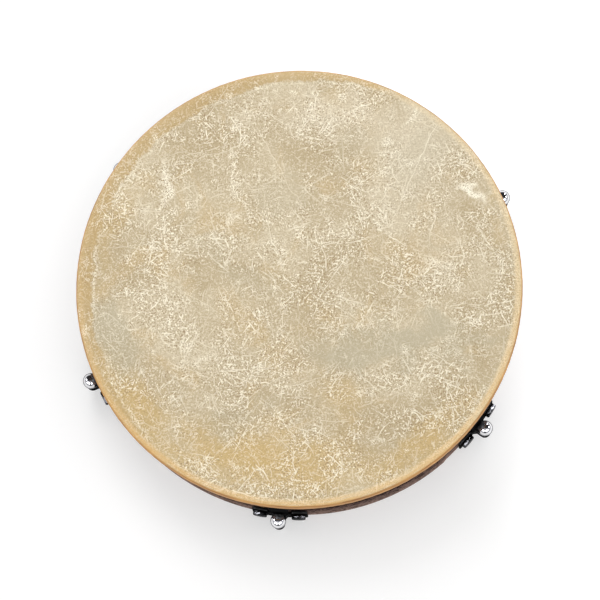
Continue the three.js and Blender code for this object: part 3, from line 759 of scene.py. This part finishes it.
# bracket
brk_outline = fillet([(-PLATE_HALF, PLATE_Z0, 3), (PLATE_HALF, PLATE_Z0, 3), (PLATE_HALF, PLATE_Z1, 5), (NOTCH_HALF, PLATE_Z1, 2.0), (NOTCH_HALF, NOTCH_Z, 2.0),
                      (-NOTCH_HALF, NOTCH_Z, 2.0), (-NOTCH_HALF, PLATE_Z1, 2.0), (-PLATE_HALF, PLATE_Z1, 5)], 6)
ys = (PLATE_R0 + PLATE_R1) / 2 * rad(SCREW_DEG)
bracket = bend_plate("bracket", brk_outline, PLATE_R0, PLATE_R1, 0.4, 2.5, [(-ys, SCREW_Z, 4.1), (ys, SCREW_Z, 4.1)])
bo = [(PLATE_R1 - 1.1, -BOSS_ROOT), (PLATE_R1 + 0.9, -BOSS_ROOT + 0.5, 1.0), (PLATE_R1 + 3.2, -BOSS_R, 2.5)]
bo += [(BOLT_R + BOSS_R * math.sin(PI * k / 24), -BOSS_R * math.cos(PI * k / 24)) for k in range(25)]
bo = fillet(bo + [(PLATE_R1 + 3.2, BOSS_R, 2.5), (PLATE_R1 + 0.9, BOSS_ROOT - 0.5, 1.0), (PLATE_R1 - 1.1, BOSS_ROOT)], 5)
boss = prism("boss", bo, BOSS_Z0, BOSS_Z1, 0.55, 3)
boolean(boss, [prism("c1", circle(BOLT_R, 0, INSERT_R + 0.3, 40), BOSS_Z0 - 1, BOSS_Z1 + 1)], "DIFFERENCE")
boolean(bracket, [boss], "UNION")
copies(bracket, [f"lug_bracket_{i+1}_body" for i in range(6)], STATIONS, "frame", [f"lug_bracket_{i+1}" for i in range(6)], M_BLACK)

# threaded insert and washer
ins = lathe("insert", fillet([(3.35, INSERT_Z0, 0.4), (INSERT_R, INSERT_Z0, 0.35), (INSERT_R, INSERT_Z1, 0.35), (3.35, INSERT_Z1, 0.4)], 3), 48)
turn(ins, Matrix.Translation((BOLT_R * MM, 0, 0)))
copies(ins, [f"lug_insert_{i+1}_bush" for i in range(6)], STATIONS, "frame", [f"lug_insert_{i+1}" for i in range(6)], M_ZINC)
wash = lathe("washer", fillet([(3.35, 27.32, 0.15), (6.05, 27.32, 0.25), (6.05, 28.48, 0.45), (3.35, 28.48, 0.2)], 3), 64)
turn(wash, Matrix.Translation((BOLT_R * MM, 0, 0)))
copies(wash, [f"tension_washer_{i+1}_disc" for i in range(6)], STATIONS, "head", [f"tension_washer_{i+1}" for i in range(6)], M_ZINC)

# tension bolt with its acorn head
hx = chamfered_hex("hex", HEX_AF, HEX_Z1 - HEX_Z0)
soften(hx, 0.35, 2, 25)
turn(hx, Matrix.Translation((0, 0, HEX_Z0 * MM)))
dome_prof = [(DOME_R * math.cos(rad(a)), HEX_Z1 + 0.2 + (DOME_Z - HEX_Z1 - 0.2) * math.sin(rad(a))) for a in range(0, 88, 4)]
dome = lathe("dome", [(0, HEX_Z1 - 0.9), (DOME_R - 0.25, HEX_Z1 - 0.9), (DOME_R - 0.03, HEX_Z1 - 0.55)] + dome_prof + [(0, DOME_Z)], 96, closed=False, angle=60)
neck = lathe("neck", [(0, 22.6), (2.95, 22.6), (2.95, HEX_Z0 + 0.8), (0, HEX_Z0 + 0.8)], 28, closed=False)
thr = threaded("thread", SHANK_R, 6.0, 23.0, 1.0)
boolean(hx, [dome], "UNION", 30)
boolean(hx, [neck], "UNION", 30)
boolean(hx, [thr], "UNION", 30)
turn(hx, Matrix.Translation((BOLT_R * MM, 0, 0)))
copies(hx, [f"tension_bolt_{i+1}_acorn" for i in range(6)], STATIONS, [f"bolt_{i+1}" for i in range(6)], [f"tension_bolt_{i+1}" for i in range(6)], M_CHROME)

# black bracket bolts and the nuts inside the shell
hd = chamfered_hex("head", SCREW_AF, SCREW_H, 1.6, top_only=True)
soften(hd, 0.6, 3, 25)
turn(hd, Matrix.Translation((0, 0, (SCREW_R0 - (r_in - 8.5)) * MM)))
sh = threaded("sh", 3.7, 0.0, SCREW_R0 - (r_in - 8.5) + 0.6, 1.25, 28, 0.38, 0.8, 6)
boolean(hd, [sh], "UNION", 30)
radial_z(hd, r_in - 8.5, SCREW_Z)
names, angs, nodes = [], [], []
for i, azm in enumerate(STATIONS):
    for tag, sd in (("a", -1), ("b", 1)):
        names.append(f"bracket_bolt_{i+1}{tag}_hex"); angs.append(azm + sd * SCREW_DEG); nodes.append(f"bracket_bolt_{i+1}{tag}")
copies(hd, names, angs, "frame", nodes, M_BOLT)
inut = radial_z(chamfered_hex("inut", 13.0, 6.0, hole=3.95), r_in - 6.6, SCREW_Z)
copies(inut, [n.replace("bolt", "nut") for n in names], angs, "frame", [n.replace("bolt", "nut") for n in nodes], M_ZINC)

# ------------------------------------------------------------------ crossbar and its screws
sec = fillet([(-BAR_W / 2, BAR_Z0, 4.5), (BAR_W / 2, BAR_Z0, 4.5), (BAR_W / 2, BAR_Z0 + BAR_T, 5.5), (-BAR_W / 2, BAR_Z0 + BAR_T, 5.5)], 6)
verts, faces = [], []
NB = 60
for k in range(NB + 1):
    x = -192.0 + 384.0 * k / NB
    f = 1.0 - 0.10 * math.exp(-(x / 70.0) ** 2)                 # a slight waist where the hand goes
    for y, z in sec:
        verts.append((x, y * f, BAR_Z0 + BAR_T / 2 + (z - BAR_Z0 - BAR_T / 2) * (0.995 + 0.0 * f)))
ns = len(sec)
for k in range(NB):
    for i in range(ns):
        j = (i + 1) % ns
        faces.append((k * ns + i, k * ns + j, (k + 1) * ns + j, (k + 1) * ns + i))
faces.append(tuple(range(ns))); faces.append(tuple(NB * ns + i for i in reversed(range(ns))))
bar = obj_from("crossbar_rail", verts, faces, 40)
boolean(bar, [prism("cyl", circle(0, 0, r_in - 0.65, 288), 0, 60)], "INTERSECT", 40)
pilot = [radial_z(prism("cut", circle(0, 0, 2.45, 24), 0, 30), r_in - 22, BAR_Z0 + BAR_T / 2)]
pilot.append(turn(radial_z(prism("cut", circle(0, 0, 2.45, 24), 0, 30), r_in - 22, BAR_Z0 + BAR_T / 2), Matrix.Rotation(PI, 4, "Z")))
boolean(bar, pilot, "DIFFERENCE", 40)
turn(bar, Matrix.Rotation(rad(BAR_AZ), 4, "Z"))
place(bar, "crossbar_rail", "frame", "bar_wood", M_WOOD, "crossbar")

scr = lathe("scr", [(0, 0)] + curve([(4.6, 0.0), (4.55, 0.5), (4.1, 1.5), (2.6, 2.4), (1.2, 2.78)], 4) + [(0, 2.85)], 64, closed=False, angle=60)
cross = prism("x1", [(-2.6, -0.5), (2.6, -0.5), (2.6, 0.5), (-2.6, 0.5)], 1.2, 4.0)
cross2 = prism("x2", [(-0.5, -2.6), (0.5, -2.6), (0.5, 2.6), (-0.5, 2.6)], 1.2, 4.0)
boolean(scr, [cross, cross2], "DIFFERENCE", 30)
turn(scr, Matrix.Translation((0, 0, (SHELL_R + 0.35 - (r_in - 21)) * MM)))
wd = threaded("wd", 2.3, 0.0, SHELL_R + 0.35 - (r_in - 21) + 0.5, 1.6, 24, 0.45, 3.0, 6)
boolean(scr, [wd], "UNION", 30)
radial_z(scr, r_in - 21, BAR_Z0 + BAR_T / 2)
copies(scr, ["crossbar_screw_1_oval", "crossbar_screw_2_oval"], [BAR_AZ, BAR_AZ + 180], "frame", ["crossbar_screw_1", "crossbar_screw_2"], M_ZINC)

# ------------------------------------------------------------------ floor, light, camera
fm, ft, fb = material("floor_white")
fn = ft.noise(ft.coords(), 0.004, 2.0, 0.5)
ft.put(fb.inputs["Base Color"], ft.mix(ft.smooth(fn, 0.3, 0.7), (0.60, 0.60, 0.60, 1), (0.62, 0.62, 0.62, 1)))
fb.inputs["Roughness"].default_value = 0.9
fb.inputs["Specular IOR Level"].default_value = 0.05
# the floor glows to stay white; the glow grows towards the right and the back, painted light that lifts the drum's
# shade there
fb.inputs["Emission Color"].default_value = (1.0, 1.0, 1.0, 1)
fs = ft.sep(ft.coords())
ft.put(fb.inputs["Emission Strength"], ft.smooth(ft.math("ADD", ft.math("MULTIPLY", fs[0], 0.9), ft.math("MULTIPLY", fs[1], 0.6)), 10.0, 190.0, 0.42, 0.66))
geo = ft.new("ShaderNodeNewGeometry"); clear = ft.new("ShaderNodeBsdfTransparent"); swap = ft.new("ShaderNodeMixShader")
ft.put(swap.inputs[0], geo.outputs["Backfacing"]); ft.t.links.new(fb.outputs[0], swap.inputs[1]); ft.t.links.new(clear.outputs[0], swap.inputs[2])
ft.t.links.new(swap.outputs[0], [n for n in ft.n if n.type == "OUTPUT_MATERIAL"][0].inputs[0])   # clear when seen from below
me = bpy.data.meshes.new("floor")
me.from_pydata([(-6, -6, 0), (6, -6, 0), (6, 6, 0), (-6, 6, 0)], [], [(0, 1, 2, 3)])
floor = bpy.data.objects.new("floor", me); COLL.objects.link(floor)
me.materials.append(fm)
floor.location.z = -0.0004

w = bpy.data.worlds.new("studio"); SCENE.world = w; w.use_nodes = True
wt = Tree(w.node_tree)
bg = w.node_tree.nodes["Background"]
# even white light, while polished metal sees a room: dark behind and overhead, pale in front, a window each side of a dark post
dirn = wt.sep(wt.new("ShaderNodeTexCoord").outputs["Generated"])
room = wt.mix(wt.math("MULTIPLY", wt.smooth(dirn[1], 0.02, -0.30), 0.92), (0.035, 0.034, 0.036, 1), (0.44, 0.44, 0.46, 1))
room = wt.mix(wt.math("MULTIPLY", wt.smooth(wt.math("ABSOLUTE", dirn[0]), 0.62, 0.92), 0.65), room, (0.62, 0.62, 0.65, 1))
room = wt.mix(wt.math("MULTIPLY", wt.smooth(dirn[2], 0.14, 0.04), 0.9), room, (0.92, 0.92, 0.92, 1))
band = wt.math("MULTIPLY", wt.smooth(dirn[2], 0.50, 0.54), wt.smooth(dirn[2], 0.84, 0.80))
low = wt.smooth(dirn[1], -0.26, -0.40)
middle = wt.smooth(wt.math("ABSOLUTE", dirn[0]), 0.20, 0.11)
panes = wt.math("MULTIPLY", low, wt.math("SUBTRACT", 1.0, middle))
wedge = wt.math("MULTIPLY", wt.math("MULTIPLY", low, middle), wt.math("MULTIPLY", wt.smooth(dirn[2], 0.06, 0.14), wt.smooth(dirn[2], 0.72, 0.62)))
room = wt.mix(wedge, room, (0.03, 0.03, 0.032, 1))
room = wt.mix(wt.math("MULTIPLY", band, panes), room, (5.0, 5.0, 5.1, 1))
for d in ((0.83, 0.20, 0.53), (-0.83, 0.20, 0.53), (-0.64, -0.48, 0.60), (0.48, 0.79, 0.38)):
    near = wt.vmath("DOT_PRODUCT", wt.vmath("NORMALIZE", wt.new("ShaderNodeTexCoord").outputs["Generated"]), Vector(d).normalized()[:])
    room = wt.mix(wt.smooth(near, 0.9945, 0.9975), room, (26.0, 26.0, 26.8, 1))
glossy = wt.new("ShaderNodeLightPath").outputs["Is Glossy Ray"]
wt.put(bg.inputs[0], wt.mix(glossy, (0.78, 0.78, 0.78, 1), room))
bg.inputs[1].default_value = 1.0


def area(name, loc, size, power, target=(0, 0, 0.04), size_y=None):
    l = bpy.data.lights.new(name, "AREA"); l.energy = power; l.size = size
    if size_y:
        l.shape = "RECTANGLE"; l.size_y = size_y
    o = bpy.data.objects.new(name, l); COLL.objects.link(o)
    o.location = loc
    o.rotation_euler = (Vector(target) - Vector(loc)).to_track_quat("-Z", "Y").to_euler()
    o.visible_glossy = False
    return o


area("key", (-0.55, 1.25, 1.9), 1.0, 14.0)
area("top", (0.3, 0.3, 2.6), 1.6, 8.0)

cam_data = bpy.data.cameras.new("camera"); cam_data.sensor_width = 36.0; cam_data.lens = 3304.0 / 600.0 * 36.0
cam_data.clip_end = 50
cam = bpy.data.objects.new("camera", cam_data); COLL.objects.link(cam)
cam.matrix_world = Matrix(((0.999142, 0.004255, 0.041197, 0.124803), (0.004255, 0.978897, -0.204312, -0.625996), (-0.041197, 0.204312, 0.978039, 3.020336), (0, 0, 0, 1)))
SCENE.camera = cam
SCENE.view_settings.view_transform = "Standard"
SCENE.view_settings.look = "None"
SCENE.view_settings.exposure = 0.0
SCENE.view_settings.gamma = 1.0
